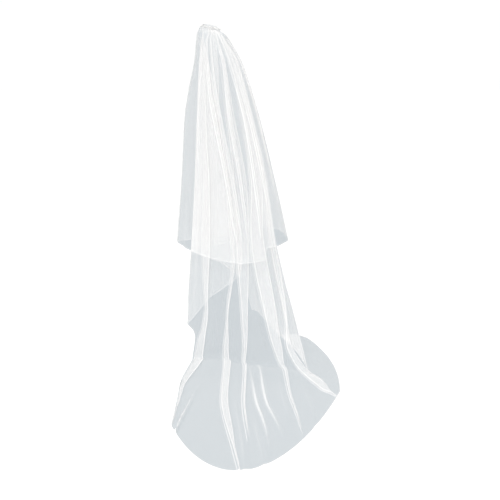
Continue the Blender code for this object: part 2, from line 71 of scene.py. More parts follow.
BELOW_HEM = 99.0              # a level under every hem
FLOOR = -COMB_HEIGHT
NET_ON_FLOOR = FLOOR + NET_WALL / 2
PLEAT_DEPTH = 2 * FOLD_STEP
LONG_SET_BACK = BAR_DEPTH / 2 + SEAM_GAP + NET_WALL / 2
UPPER_SET_BACK = LONG_SET_BACK + PLEAT_DEPTH + NET_WALL + SEAM_GAP
LONG_INSET = 0.006            # the long tier's gathers stop this far short of the comb's ends
FRONT_AT_COMB = 0.0095        # of the comb's left end, taken by the upper tier's front
TURN_AT = 0.0286              # along the comb, where the gathers pass from the back to the far side
LONG_TOP = 0.007              # the raw top edges stand this high over the bar
UPPER_TOP = 0.009
STITCHES = -0.010
UPPER_STITCHES = -0.009
TOP_LEAN = 0.014              # by which the raw top edges run out past the comb's right end


def comb_point(along, behind):
    """A point at the comb: along it from its middle, and behind it, away from the head."""
    x = along * math.cos(COMB_TURN) + behind * math.sin(COMB_TURN)
    y = along * math.sin(COMB_TURN) - behind * math.cos(COMB_TURN)
    return x, y


def tilted(x, y, z, angle):
    """Turns points about the comb's middle, in the comb's own plane."""
    along = x * math.cos(COMB_TURN) + y * math.sin(COMB_TURN)
    behind = x * math.sin(COMB_TURN) - y * math.cos(COMB_TURN)
    moved = along * np.cos(angle) + z * np.sin(angle)
    return *comb_point(moved, behind), z * np.cos(angle) - along * np.sin(angle)


def gathered_row(name, height, set_back, inset, front=0.0, lean=0.0):
    """The straight section at the comb."""
    end = COMB_WIDTH / 2 - inset
    first = comb_point(lean / 2 - end, set_back)
    left = comb_point(lean / 2 + front - end, set_back)
    right = comb_point(lean * 0.8 + TURN_AT, set_back)
    far = comb_point(lean + end, set_back)
    return (name, height, *left, *right, 0.0, 0.0, *far, 0.0, *first, 0.0)


LEVEL_COLUMNS = ("name", "height", "left_x", "left_y", "right_x", "right_y", "belly", "aside",
                 "far_x", "far_y", "far_belly", "front_x", "front_y", "front_belly")

LONG_LEVELS = (
    gathered_row("top", LONG_TOP, LONG_SET_BACK, LONG_INSET, lean=TOP_LEAN),
    gathered_row("stitch", STITCHES, LONG_SET_BACK, LONG_INSET),
    # name      height  left_x  left_y  right_x right_y belly aside  far_x  far_y  far_belly
    ("wrap", -0.032, -0.037, -0.014, 0.054, -0.004, 0.016, 0.0, 0.054, 0.022, 0.002),
    ("crown", -0.060, -0.040, -0.016, 0.072, -0.004, 0.030, 0.0, 0.064, 0.056, 0.004),
    ("head", -0.160, -0.0535, -0.010, 0.122, 0.008, 0.068, 0.0, 0.104, 0.150, 0.012),
    ("shoulder", -0.420, -0.0690, 0.000, 0.197, 0.020, 0.105, 0.0, 0.134, 0.225, 0.020),
    ("waist", -0.730, -0.0845, 0.000, 0.267, 0.010, 0.130, 0.0, 0.178, 0.245, 0.024),
    ("hip", -1.040, -0.1055, -0.010, 0.318, -0.020, 0.150, 0.0, 0.180, 0.250, 0.028),
    ("knee", -1.330, -0.1265, -0.040, 0.393, -0.110, 0.145, 0.0, 0.178, 0.290, 0.030),
    ("shin", -1.500, -0.116, -0.090, 0.438, -0.240, 0.110, 0.0, 0.208, 0.390, 0.030),
    ("foot", NET_ON_FLOOR, -0.090, -0.150, 0.476, -0.385, 0.070, 0.0, 0.290, 0.480, 0.030),
    ("train", NET_ON_FLOOR, -0.146, -0.500, 0.548, -0.480, 0.390, 0.030, 0.330, 0.535, 0.070),
    ("hem", NET_ON_FLOOR, -0.142, -0.947, 0.589, -0.608, 0.642, 0.034, 0.345, 0.560, 0.095),
)

UPPER_LEVELS = (
    gathered_row("top", UPPER_TOP, UPPER_SET_BACK, 0.0, FRONT_AT_COMB, TOP_LEAN),
    gathered_row("stitch", UPPER_STITCHES, UPPER_SET_BACK, 0.0, FRONT_AT_COMB),
    # name      height  left_x  left_y  right_x right_y belly aside  far_x  far_y  far_bl
    #           front_x front_y front_belly
    ("wrap", -0.032, -0.0575, -0.020, 0.070, -0.014, 0.026, 0.0, 0.070, 0.030, 0.002,
     -0.0545, -0.002, 0.001),
    ("crown", -0.060, -0.0625, -0.024, 0.084, -0.014, 0.045, 0.0, 0.080, 0.078, 0.004,
     -0.0395, 0.012, 0.015),
    ("head", -0.160, -0.0775, -0.008, 0.136, 0.002, 0.090, 0.0, 0.119, 0.176, 0.014,
     -0.0125, 0.040, 0.026),
    ("shoulder", -0.420, -0.1295, 0.010, 0.226, 0.024, 0.150, 0.0, 0.156, 0.262, 0.030,
     0.0405, 0.052, 0.030),
    ("waist", -0.730, -0.1505, 0.015, 0.303, 0.024, 0.172, 0.0, 0.218, 0.285, 0.034,
     0.0995, 0.060, 0.040),
    ("hip", -1.040, -0.179, 0.022, 0.379, 0.012, 0.225, 0.0, 0.262, 0.300, 0.040,
     0.1505, 0.070, 0.036),
    ("hem", -1.120, -0.183, 0.024, 0.396, 0.002, 0.250, 0.0, 0.274, 0.306, 0.040,
     0.1605, 0.072, 0.036),
)
# How much of the comb's tilt the net has, down the levels
TILT_SHARES = ((0.0, 1.0), (1.0, 1.0), (2.0, 0.6), (3.0, 0.2), (4.0, 0.0), (BELOW_HEM, 0.0))

# Flat folds, three layers deep. along_comb is metres from the comb's left end. Then two tables give
# the place across the tier and the fold's width in metres, down the tier's named levels. At the
# level called narrow the fold has drawn in to a pleat, and at the level called flat it has gone.
FOLD_COLUMNS = ("name", "along_comb", "narrow", "flat", "hem", "places", "widths")
FOLD_LEVELS = ("head", "shoulder", "waist", "hip", "knee", "shin", "foot", "train", "hem")

LONG_FOLDS = (
    # name        along narrow flat  hem
    #  head   shldr  waist  hip    knee   shin   foot   train  hem
    ("left fan", 0.0433, 11.67, 12.33, 12.0,
     (0.180, 0.185, 0.200, 0.207, 0.207, 0.135, 0.054, 0.054, 0.028),
     (0.003, 0.010, 0.030, 0.050, 0.020, 0.040, 0.054, 0.030, 0.001)),
    ("lens fold", 0.0506, 11.67, 12.33, 12.0,
     (0.440, 0.410, 0.480, 0.510, 0.413, 0.353, 0.304, 0.380, 0.450),
     (0.026, 0.012, 0.004, 0.004, 0.004, 0.021, 0.032, 0.027, 0.001)),
    ("long fold", 0.0579, 11.0, 11.67, 12.0,
     (0.655, 0.625, 0.640, 0.607, 0.560, 0.515, 0.456, 0.498, 0.510),
     (0.012, 0.032, 0.054, 0.048, 0.024, 0.013, 0.006, 0.002, 0.001)),
    ("broad fold", 0.0652, 11.33, 12.0, 12.0,
     (0.870, 0.880, 0.845, 0.775, 0.784, 0.784, 0.778, 0.778, 0.776),
     (0.026, 0.036, 0.060, 0.070, 0.054, 0.036, 0.008, 0.004, 0.001)),
    ("edge fold", 0.0725, 11.67, 12.33, 12.0,
     (0.985, 0.982, 0.978, 0.972, 0.935, 0.885, 0.960, 0.958, 0.976),
     (0.001, 0.001, 0.001, 0.001, 0.002, 0.018, 0.044, 0.054, 0.001)),
    ("far fold", 0.0863, 8.33, 9.0, 12.0,
     (1.450, 1.400, 1.380, 1.360, 1.340, 1.340, 1.340, 1.340, 1.340),
     (0.002, 0.004, 0.008, 0.012, 0.012, 0.012, 0.012, 0.012, 0.012)),
)
# Plain lines of the far side, as places across and the levels of the hem there
LONG_FAR_LINES = (
    (1.70, 12.0), (1.74, 11.2), (1.77, 10.2), (1.80, 9.4), (1.84, 9.0), (1.90, 8.88), (2.0, 8.85))

UPPER_FOLDS = (
    # name          along narrow flat  hem    head   shldr  waist  hip
    ("left gather", 0.0160, 5.0, 6.0, 7.32, (0.200, 0.220, 0.220, 0.220),
     (0.002, 0.002, 0.002, 0.002)),
    ("left fold", 0.0420, 6.0, 7.0, 7.74, (0.330, 0.440, 0.520, 0.570),
     (0.009, 0.006, 0.004, 0.002)),
    ("mid gather", 0.0493, 6.0, 7.0, 7.74, (0.435, 0.515, 0.580, 0.620),
     (0.002, 0.002, 0.002, 0.002)),
    ("right fold", 0.0566, 6.0, 7.0, 7.74, (0.675, 0.640, 0.660, 0.660),
     (0.005, 0.010, 0.008, 0.002)),
    ("right gather", 0.0639, 6.0, 7.0, 7.68, (0.780, 0.815, 0.795, 0.768),
     (0.003, 0.006, 0.004, 0.002)),
    ("edge gather", 0.0712, 5.5, 6.5, 7.06, (0.870, 0.885, 0.890, 0.880),
     (0.002, 0.002, 0.002, 0.002)),
    ("far gather", 0.0875, 5.5, 6.5, 6.88, (1.450, 1.420, 1.410, 1.400),
     (0.002, 0.006, 0.004, 0.002)),
)
# Past the right gather the hem steps up: the part of the way to the next gather, and the hem there
HEM_STEP = (0.30, 7.04)
UPPER_RIGHT_HEM = 6.97
UPPER_FAR_HEM = 6.80
UPPER_LEFT_HEM = 7.0
UPPER_FRONT_HEM = 6.88


def steady_curve(at, places, values):
    """A smooth curve through values at rising places, which never swings past them."""
    places = np.asarray(places, float)
    values = np.asarray(values, float)
    gaps = np.diff(places)
    steps = np.diff(values) / gaps
    slopes = np.zeros(len(values))
    before, after = steps[:-1], steps[1:]
    weight_before = 2 * gaps[1:] + gaps[:-1]
    weight_after = gaps[1:] + 2 * gaps[:-1]
    same_way = before * after > 0
    share = np.where(same_way, weight_before * after + weight_after * before, 1.0)
    slopes[1:-1] = np.where(
        same_way, before * after * (weight_before + weight_after) / share, 0.0)
    slopes[0], slopes[-1] = steps[0], steps[-1]
    at = np.clip(at, places[0], places[-1])
    low = np.clip(np.searchsorted(places, at, side="right") - 1, 0, len(gaps) - 1)
    gap = gaps[low]
    t = (at - places[low]) / gap
    return (values[low] * (1 + 2 * t) * (1 - t) ** 2 + slopes[low] * gap * t * (1 - t) ** 2
            + values[low + 1] * t * t * (3 - 2 * t) - slopes[low + 1] * gap * t * t * (1 - t))


def course(levels, values):
    """A smooth course down the net, steady above and below its levels."""
    return lambda level: steady_curve(level, levels, values)


def steady(value):
    return lambda level: np.full(np.shape(level), float(value))


class Tier:
    """The plain surface of one tier, with no folds."""

    def __init__(self, rows, comb_start, comb_end):
        self.table = dict(zip(LEVEL_COLUMNS, zip(*rows)))
        self.levels = np.arange(float(len(rows)))
        self.comb_start = comb_start
        self.comb_end = comb_end

    def level_of(self, *names):
        return [float(self.table["name"].index(name)) for name in names]

    def across_comb(self, along):
        """The place across of a point along the comb, from the comb's left end."""
        back = COMB_WIDTH / 2 + TURN_AT
        if along <= back:
            return (along - self.comb_start) / (back - self.comb_start)
        return 1 + (along - back) / (COMB_WIDTH - self.comb_end - back)

    def plain(self, across, level):
        """Points of the plain surface."""
        get = {name: steady_curve(level, self.levels, values)
               for name, values in self.table.items() if name != "name"}
        back_x = get["left_x"] + across * (get["right_x"] - get["left_x"])
        back_y = get["left_y"] + across * (get["right_y"] - get["left_y"])
        back_y = back_y - get["belly"] * 4 * across * (1 - across)
        back_x = back_x - get["aside"] * 4 * across * (1 - across)
        past = across - 1
        deep_x = get["far_x"] - get["right_x"]
        deep_y = get["far_y"] - get["right_y"]
        bulge = get["far_belly"] * 4 * past * (1 - past) / np.hypot(deep_x, deep_y)
        far_x = get["right_x"] + past * deep_x + bulge * deep_y
        far_y = get["right_y"] + past * deep_y - bulge * deep_x
        x = np.where(across <= 1, back_x, far_x)
        y = np.where(across <= 1, back_y, far_y)
        if "front_x" in get:
            front_x = get["left_x"] - across * (get["front_x"] - get["left_x"])
            front_y = get["left_y"] - across * (get["front_y"] - get["left_y"])
            front_y = front_y - get["front_belly"] * 4 * across * (1 + across)
            x = np.where(across < 0, front_x, x)
            y = np.where(across < 0, front_y, y)
        angle = COMB_TILT * steady_curve(level, *zip(*TILT_SHARES))
        return np.stack(tilted(x, y, get["height"], angle), axis=-1)

    def sideways(self, across, level, by=1e-4):
        """The surface's step for one unit of across."""
        side = np.where((across > 1) | (across == 0), by, -by)
        step = self.plain(across + side, level) - self.plain(across, level)
        return step / side[:, None]

    def pace(self, across, level):
        """Metres of surface for one unit of across."""
        return np.linalg.norm(self.sideways(across, level), axis=-1)

    def point(self, across, level, proud, by=1e-3):
        """Points proud of the plain surface, or moved towards +Y where proud is negative."""
        fall = self.plain(across, level + by) - self.plain(across, level - by)
        out = np.cross(fall, self.sideways(across, level))
        out /= np.linalg.norm(out, axis=-1)[:, None]
        inward = np.array([0.0, -1.0, 0.0])
        away = np.where((proud > 0)[:, None], out, inward)
        return self.plain(across, level) + proud[:, None] * away


class Line:
    """A line down the net: across and proud as courses over the levels, and its hem's level."""

    def __init__(self, across, proud, hem):
        self.across = across
        self.proud = proud
        self.hem = hem


def between(first, second, part, hem):
    """The line a part of the way from one line to another, where part is a course."""
    return Line(
        lambda level: first.across(level) * (1 - part(level)) + second.across(level) * part(level),
        lambda level: first.proud(level) * (1 - part(level)) + second.proud(level) * part(level),
        hem,
    )


# A flat fold's eight lines, in order. side counts half widths of the fold from its middle, then
# radius counts fold radii, ramp counts the run in which the net rises over the fold, and layer
# counts fold steps of height.
FLAT_FOLD = (
    # side radius ramp layer
    (-1, 0.0, -1.0, 0.0),
    (-1, 0.0, -0.3, 2.0),
    (1, 0.0, 0.0, 2.0),
    (1, 1.0, 0.0, 1.6),
    (1, 0.0, 0.0, 1.2),
    (-1, 0.0, 0.0, 0.8),
    (-1, -1.0, 0.0, 0.4),
    (-1, 0.0, 0.0, 0.0),
)
FOLD_STEPS = ((0.0, FOLD_STEP), (1.0, FOLD_STEP), (4.0, 0.0030), (7.0, 0.0050), (10.0, 0.0056))
MIDDLE_LINE = (len(FLAT_FOLD) - 1) / 2
PLEAT_WIDTH = 0.001
RAMP_AT_COMB = 0.0045
RAMP_BELOW = 0.0100


def flat_fold(tier, row):
    """The lines of one flat fold."""
    fold = dict(zip(FOLD_COLUMNS, row))
    levels = LONG.level_of(*FOLD_LEVELS[:len(fold["places"])])
    start = tier.across_comb(fold["along_comb"])
    middle = course([0.0, 1.0, *levels], [start, start, *fold["places"]])
    narrow = fold["narrow"]
    widths = [(level, width) for level, width in zip(levels, fold["widths"]) if level < narrow]
    wide = course(*zip((0.0, PLEAT_WIDTH), (1.0, PLEAT_WIDTH), *widths, (narrow, PLEAT_WIDTH)))
    step = course(*zip(*FOLD_STEPS))
    folded = course([0.0, narrow, fold["flat"], BELOW_HEM], [1.0, 1.0, 0.0, 0.0])
    head = LONG.level_of("head")[0]
    ramp = course([0.0, 1.0, head, BELOW_HEM], [RAMP_AT_COMB, RAMP_AT_COMB, RAMP_BELOW, RAMP_BELOW])
    lines = []
    for order, (side, radius, run, layer) in enumerate(FLAT_FOLD):
        def across(level, order=order, side=side, radius=radius, run=run):
            mid = middle(level)
            aside = side * wide(level) / 2 + radius * step(level) / 2 + run * ramp(level)
            flat = (order - MIDDLE_LINE) * FLAT_STEP
            metres = folded(level) * aside + (1 - folded(level)) * flat
            return mid + metres / tier.pace(mid, level)

        def proud(level, layer=layer):
            return folded(level) * layer * step(level)

        lines.append(Line(across, proud, fold["hem"]))
    return lines


LONG = Tier(LONG_LEVELS, LONG_INSET, LONG_INSET)
UPPER = Tier(UPPER_LEVELS, FRONT_AT_COMB, 0.0)

# The long tier's left side falls in a cascade: the cut edge, then three folds that take the net to
# and fro behind the back. side is where each fold points, depth is its place behind the back in
# steps of the cascade, and hem is the level where the cut crosses it. panel_hem is where the cut
# crosses the panel that leads to the fold, PANEL_PART of the way there.
CASCADE_COLUMNS = ("name", "side", "along_comb", "depth", "panel_hem", "hem")
CASCADE = (
    ("outer fold", -1, 0.0101, 2.5, 7.02, 7.16),
    ("inner fold", 1, 0.0137, 1.5, 7.25, 7.44),
    ("left fold", -1, 0.0173, 0.5, 7.92, 8.60),
)
CUT_EDGE_HEM = 6.88
PANEL_PART = 0.6
CASCADE_LEVELS = ("crown", "head", "shoulder", "waist", "hip", "knee")
CASCADE_STEPS = (0.0050, 0.0080, 0.0120, 0.0140, 0.0150, 0.0150)
CASCADE_LEFT = 0.02
CASCADE_RIGHT = (0.10, 0.25, 0.40, 0.525, 0.590, 0.470)
CUT_ASIDE = 0.12              # across, by which the left folds run off to the side on the floor
CUT_EDGE_DEPTH = 3            # steps of the cascade
# The cut edge's lines between the left fold and the first flat fold: the part of the way at the
# comb and below the knee, and the hem's level
CUT_LINES = (
    # comb below hem
    (0.12, 0.50, 8.75),
    (0.24, 0.76, 8.95),
    (0.38, 0.84, 9.50),
    (0.50, 0.89, 10.00),
    (0.60, 0.92, 10.67),
    (0.69, 0.95, 11.20),
    (0.78, 0.975, 11.67),
)
TURNS = np.radians([-90, -45, 0, 45, 90])


def cascade_lines(tier):
    """The cut edge and the folds behind the back's left side."""
    levels = [0.0, 1.0, *tier.level_of(*CASCADE_LEVELS)]
    step = course(levels, [FOLD_STEP, FOLD_STEP, *CASCADE_STEPS])
    crown, foot = tier.level_of("crown", "foot")
    swing = course([0.0, 1.0, crown, BELOW_HEM], [0.0, 0.0, math.pi / 2, math.pi / 2])
    cut_across = course(levels, [0.0, 0.0, *CASCADE_RIGHT])
    cut_proud = course(levels, [0.0, 0.0, *(-CUT_EDGE_DEPTH * width for width in CASCADE_STEPS)])
    lines = [Line(cut_across, cut_proud, CUT_EDGE_HEM)]
    for row in CASCADE:
        fold = dict(zip(CASCADE_COLUMNS, row))
        side, depth = fold["side"], fold["depth"]
        start = tier.across_comb(fold["along_comb"])
        places = CASCADE_RIGHT if side > 0 else [CASCADE_LEFT] * len(CASCADE_LEVELS)
        side_step = 0.0 if side > 0 else CUT_ASIDE
        middle = course([*levels, foot], [start, start, *places, places[-1] - side_step])
        rest = FOLD_STEP / 2 if side > 0 else PLEAT_DEPTH - FOLD_STEP / 2
        height = course(levels, [rest, rest, *(-depth * width for width in CASCADE_STEPS)])
        turned = []
        for turn in TURNS:
            def across(level, side=side, middle=middle, turn=turn):
                angle = swing(level)
                along, out = math.sin(turn), -side * math.cos(turn)
                metres = step(level) / 2 * (along * np.cos(angle) - out * np.sin(angle))
                mid = middle(level)
                return mid + metres / tier.pace(mid, level)

            def proud(level, side=side, height=height, turn=turn):
                angle = swing(level)
                along, out = math.sin(turn), -side * math.cos(turn)
                rise = along * np.sin(angle) + out * np.cos(angle)
                return height(level) + step(level) / 2 * rise

            turned.append(Line(across, proud, fold["hem"]))
        lines.append(between(lines[-1], turned[0], steady(PANEL_PART), fold["panel_hem"]))
        lines += turned
    return lines


# How finely each sheet is divided
LONG_ROWS = (1, 2, 2, 2, 2, 2, 2, 2, 3, 2, 3, 3)   # groups of rows, from each level to the next
UPPER_ROWS = (1, 2, 2, 2, 3, 2, 2, 2)
FINE_ROWS = 5                 # rows in a group
FINE_PANEL = 0.010            # the lines stand no wider apart than this
WIDTH_TAKEN_AT = (0.3, 0.5, 0.7, 1.0)   # where that is taken, as shares of the lowest hem's level
LEAST_ROW = 0.02              # in levels: a row closer to the hem than this is left out
CORNER_CUT = 0.08             # of the way to the next line, taken off each corner between the lines
PROBE = 0.01                  # metres proud, at which the way out of the plain surface is taken

# Soft creases and ridges. Each runs from the level start to the level end, and from one
# place across the tier to another, bowed to the side in between. width is across the crease, and
# height is how far it stands out of the net, or into it where negative, both in metres. pressed is
# how sharply its line is pressed in.
CREASE_COLUMNS = ("start", "end", "across_start", "across_end", "bow", "width", "height", "pressed")
LONG_CREASES = (
    (9.80, 11.75, 0.540, 0.690, 0.006, 0.014, 0.018, 1.05),
    (10.05, 11.85, 0.470, 0.604, 0.038, 0.014, 0.019, 1.05),
    (10.70, 12.60, 0.175, 0.025, -0.012, 0.012, 0.016, 1.20),
    (10.6, 12.2, 0.425, 0.475, 0.010, 0.016, 0.008, 0.45),
    (10.9, 12.2, 0.525, 0.570, 0.008, 0.018, 0.007, 0.40),
    (10.2, 11.6, 0.705, 0.735, 0.010, 0.020, 0.006, 0.35),
    (9.9, 12.2, 0.210, 0.250, 0.010, 0.026, -0.007, 0.00),
    (10.4, 12.2, 0.860, 0.830, 0.010, 0.030, 0.007, 0.25),
    (5.2, 9.5, 0.100, 0.110, 0.0, 0.018, 0.004, 0.15),
    (4.0, 8.6, 0.275, 0.262, 0.0, 0.020, 0.004, 0.15),
    (5.5, 9.8, 0.440, 0.400, 0.0, 0.016, 0.004, 0.15),
    (3.5, 9.2, 0.560, 0.470, 0.0, 0.018, -0.004, 0.00),
    (5.0, 9.9, 0.700, 0.640, 0.0, 0.022, 0.005, 0.15),
    (4.2, 9.4, 0.905, 0.880, 0.0, 0.020, 0.004, 0.15),
    (3.4, 9.6, 1.180, 1.160, 0.0, 0.024, 0.006, 0.15),
    (3.8, 9.2, 1.330, 1.300, 0.0, 0.020, -0.005, 0.00),
    (3.6, 9.9, 1.620, 1.600, 0.0, 0.024, 0.007, 0.15),
    (4.4, 8.8, 1.830, 1.800, 0.0, 0.020, 0.005, 0.15),
)
UPPER_CREASES = (
    (2.2, 8.2, 0.090, 0.100, 0.0, 0.018, 0.004, 0.15),
    (3.2, 8.2, 0.160, 0.155, 0.0, 0.014, -0.003, 0.00),
    (2.4, 8.2, 0.275, 0.290, 0.0, 0.016, 0.004, 0.15),
    (3.8, 8.2, 0.400, 0.425, 0.0, 0.016, 0.003, 0.00),
    (2.6, 8.2, 0.510, 0.560, 0.0, 0.018, 0.005, 0.15),
    (3.4, 8.2, 0.655, 0.690, 0.0, 0.016, -0.003, 0.00),
    (2.3, 8.2, 0.770, 0.800, 0.0, 0.018, 0.005, 0.15),
    (3.0, 8.2, 0.900, 0.930, 0.0, 0.016, 0.004, 0.15),
    (2.6, 8.2, 1.180, 1.150, 0.0, 0.022, 0.005, 0.15),
    (3.2, 8.2, 1.330, 1.300, 0.0, 0.020, -0.004, 0.00),
    (2.8, 8.2, 1.620, 1.600, 0.0, 0.024, 0.006, 0.15),
    (3.6, 8.2, 1.820, 1.800, 0.0, 0.020, 0.004, 0.15),
    (2.8, 8.2, -0.250, -0.270, 0.0, 0.020, 0.004, 0.15),
    (3.4, 8.2, -0.550, -0.520, 0.0, 0.018, -0.003, 0.00),
    (3.0, 8.2, -0.800, -0.780, 0.0, 0.018, 0.004, 0.15),
)
CREASE_FADE = 0.8             # under 1, a crease keeps its height for longer towards its ends
LINE_IN_CREASE = 1.8          # how many times wider a crease is than its pressed line

# Ripples of the whole tier: waves in one unit of across, how they drift down the levels, and height
RIPPLES = (
    # waves drift phase height
    (5.3, 0.22, 0.4, 0.0022),
    (8.7, -0.31, 1.9, 0.0016),
    (13.9, 0.17, 3.3, 0.0009),
)
RIPPLE_GROWTH = (
    (0.0, 0.0), (1.0, 0.0), (4.0, 0.35), (7.0, 0.8), (9.2, 0.8), (10.2, 0.15), (12.0, 0.10))

# Small gathers just below the comb: waves in one unit of across, their height, how it grows and
# fades down the levels, and how unevenly they are spaced
GATHERS = 21.0
GATHER_HEIGHT = 0.0007
GATHERS_FADE = (
    (0.0, 0.0), (1.0, 0.0), (2.0, 0.2), (3.0, 1.3), (4.2, 0.7), (6.0, 0.0), (BELOW_HEM, 0.0))
GATHER_SPACING = (
    # size pace phase
    (0.35, 5.1, 1.3),
    (0.20, 11.7, 0.0),
)

# The raw top edges over the stitches: an uneven cut that drops and draws in at the comb's ends
RAW_EDGE_WAVE = (0.0016, 47.0, 2.0, 19.0)   # height, paces and phase of a wave that comes and goes
RAW_EDGE_FRAY = (0.0008, 131.0)             # height and pace of a finer one
RAW_EDGE_STRAIGHT = 0.45      # of the way from the comb's middle to its ends, where the drop starts
RAW_EDGE_DIP = 0.011
RAW_EDGE_DRAW_IN = 0.019

# Where the net turns from hanging to lying it stands off the floor
SWEEP = 0.030                 # how far
SWEEP_REACH = 0.110           # how far out
SWEEP_SIDES = 1.6             # over 1, it reaches its full height nearer to the tier's sides

SHARP_TURN = 0.55             # radians from one line to the next, at a fold's fully pressed edge
PRESSED_FROM = 0.15           # of a sharp turn, under which the net isn't pressed
PRESSED_FADE = ((0.0, 0.0), (1.5, 0.0), (2.5, 0.4), (4.0, 1.0), (BELOW_HEM, 1.0))


def rows_between(counts):
    """Levels of the sheet's rows, from how many groups there are from each level to the next."""
    rows = [0.0]
    for level, count in enumerate(counts):
        rows += [level + (order + 1) / (count * FINE_ROWS) for order in range(count * FINE_ROWS)]
    return np.array(rows)


class Courses:
    """All the lines of a sheet as tables: across and proud for each line and row, and the hems."""

    def __init__(self, across, proud, hems):
        self.across = across
        self.proud = proud
        self.hems = hems

    @classmethod
    def of(cls, lines, rows):
        across = np.array([line.across(rows) for line in lines])
        proud = np.array([line.proud(rows) for line in lines])
        return cls(across, proud, np.array([float(line.hem) for line in lines]))

    def mixed(self, firsts, parts):
        """New lines, each part of the way from one line to the next."""
        wide = parts[:, None]
        after = np.minimum(firsts + 1, len(self.hems) - 1)
        return Courses(
            self.across[firsts] * (1 - wide) + self.across[after] * wide,
            self.proud[firsts] * (1 - wide) + self.proud[after] * wide,
            self.hems[firsts] * (1 - parts) + self.hems[after] * parts,
        )

    def rounded(self):
        """Cuts the corners between the lines."""
        last = len(self.hems) - 1
        firsts = [0]
        parts = [0.0]
        for order in range(last):
            firsts += [order, order]
            parts += [CORNER_CUT, 1 - CORNER_CUT]
        return self.mixed(np.array(firsts + [last]), np.array(parts + [0.0]))

    def filled(self, tier, rows, widest):
        """Adds lines where they stand wide apart."""
        gaps = np.zeros(len(self.hems) - 1)
        for share in WIDTH_TAKEN_AT:
            level = share * self.hems.max()
            row = np.full(len(self.hems), int(np.searchsorted(rows, level).clip(0, len(rows) - 1)))
            places = np.arange(len(self.hems)), row
            points = tier.point(self.across[places], rows[row], self.proud[places])
            gaps = np.maximum(gaps, np.linalg.norm(np.diff(points, axis=0), axis=-1))
        firsts, parts = [], []
        for order, gap in enumerate(gaps):
            count = int(gap / widest) + 1
            firsts += [order] * count
            parts += [step / count for step in range(count)]
        return self.mixed(np.array(firsts + [len(self.hems) - 1]), np.array(parts + [0.0]))


def crease_shape(tier, across, level, creases):
    """How far the creases move the net at each place, and how sharply they are pressed in there."""
    pace = tier.pace(across, level)
    height = np.zeros(len(across))
    pressed = np.zeros(len(across))
    for row in creases:
        crease = dict(zip(CREASE_COLUMNS, row))
        along = (level - crease["start"]) / (crease["end"] - crease["start"])
        path = crease["across_start"] + along * (crease["across_end"] - crease["across_start"])
        path = path + crease["bow"] * 4 * along * (1 - along)
        aside = (across - path) * pace / crease["width"]
        fade = np.sin(np.pi * np.clip(along, 0, 1)) ** CREASE_FADE
        height += crease["height"] * fade * np.exp(-aside ** 2)
        pressed += crease["pressed"] * fade * np.exp(-(LINE_IN_CREASE * aside) ** 2)
    return height, pressed


def ripple_height(across, level):
    """Uneven ripples down the whole sheet, with small gathers below the comb."""
    growth = steady_curve(level, *zip(*RIPPLE_GROWTH))
    height = np.zeros(len(across))
    for waves, drift, phase, size in RIPPLES:
        height += size * np.sin(2 * np.pi * (waves * across + drift * level) + phase)
    shift = sum(size * np.sin(pace * across + phase) for size, pace, phase in GATHER_SPACING)
    gathers = np.sin(2 * np.pi * (GATHERS * across + shift))
    return growth * height + GATHER_HEIGHT * steady_curve(level, *zip(*GATHERS_FADE)) * gathers


def sweep_height(tier, across, level):
    """How far the long tier's back stands off the floor, where it turns out into the train."""
    foot = tier.plain(across, np.full(len(across), *tier.level_of("foot")))
    reach = np.linalg.norm((tier.plain(across, level) - foot)[:, :2], axis=-1)
    inside = np.clip(SWEEP_SIDES * np.sin(np.pi * np.clip(across, 0, 1)), 0, 1)
    return inside * SWEEP * np.exp(-(reach / SWEEP_REACH) ** 2)


def pressed_edges(tier, courses, rows):
    """1 where the lines turn back sharply, at the edges of the flat folds, down to 0 elsewhere."""
    levels = np.tile(rows, len(courses.hems))
    points = tier.point(courses.across.ravel(), levels, courses.proud.ravel())
    steps = np.diff(points.reshape(*courses.across.shape, 3), axis=0)
    steps /= np.linalg.norm(steps, axis=-1)[..., None] + 1e-9
    turn = np.arccos(np.clip((steps[1:] * steps[:-1]).sum(axis=-1), -1, 1))
    pressed = np.clip(turn / SHARP_TURN - PRESSED_FROM, 0, 1)
    return np.pad(pressed, ((1, 1), (0, 0))) * steady_curve(rows, *zip(*PRESSED_FADE))


def raw_edge_shift(points, across, levels):
    """How far the net over the stitches moves, to the uneven cut of its raw edge."""
    size, pace, phase, swell = RAW_EDGE_WAVE
    fray, fine = RAW_EDGE_FRAY
    cut = size * np.sin(pace * across + phase) * np.sin(swell * across)
    cut += fray * np.sin(fine * across)
    along = points[:, 0] * math.cos(COMB_TURN) + points[:, 1] * math.sin(COMB_TURN)
    end = np.clip(np.abs(2 * along / COMB_WIDTH) - RAW_EDGE_STRAIGHT, 0, 1)
    shift = np.zeros(points.shape)
    shift[:, 0] = -RAW_EDGE_DRAW_IN * end * np.sign(along)
    shift[:, 2] = cut - RAW_EDGE_DIP * end
    return shift * np.clip(1 - levels, 0, 1)[:, None]


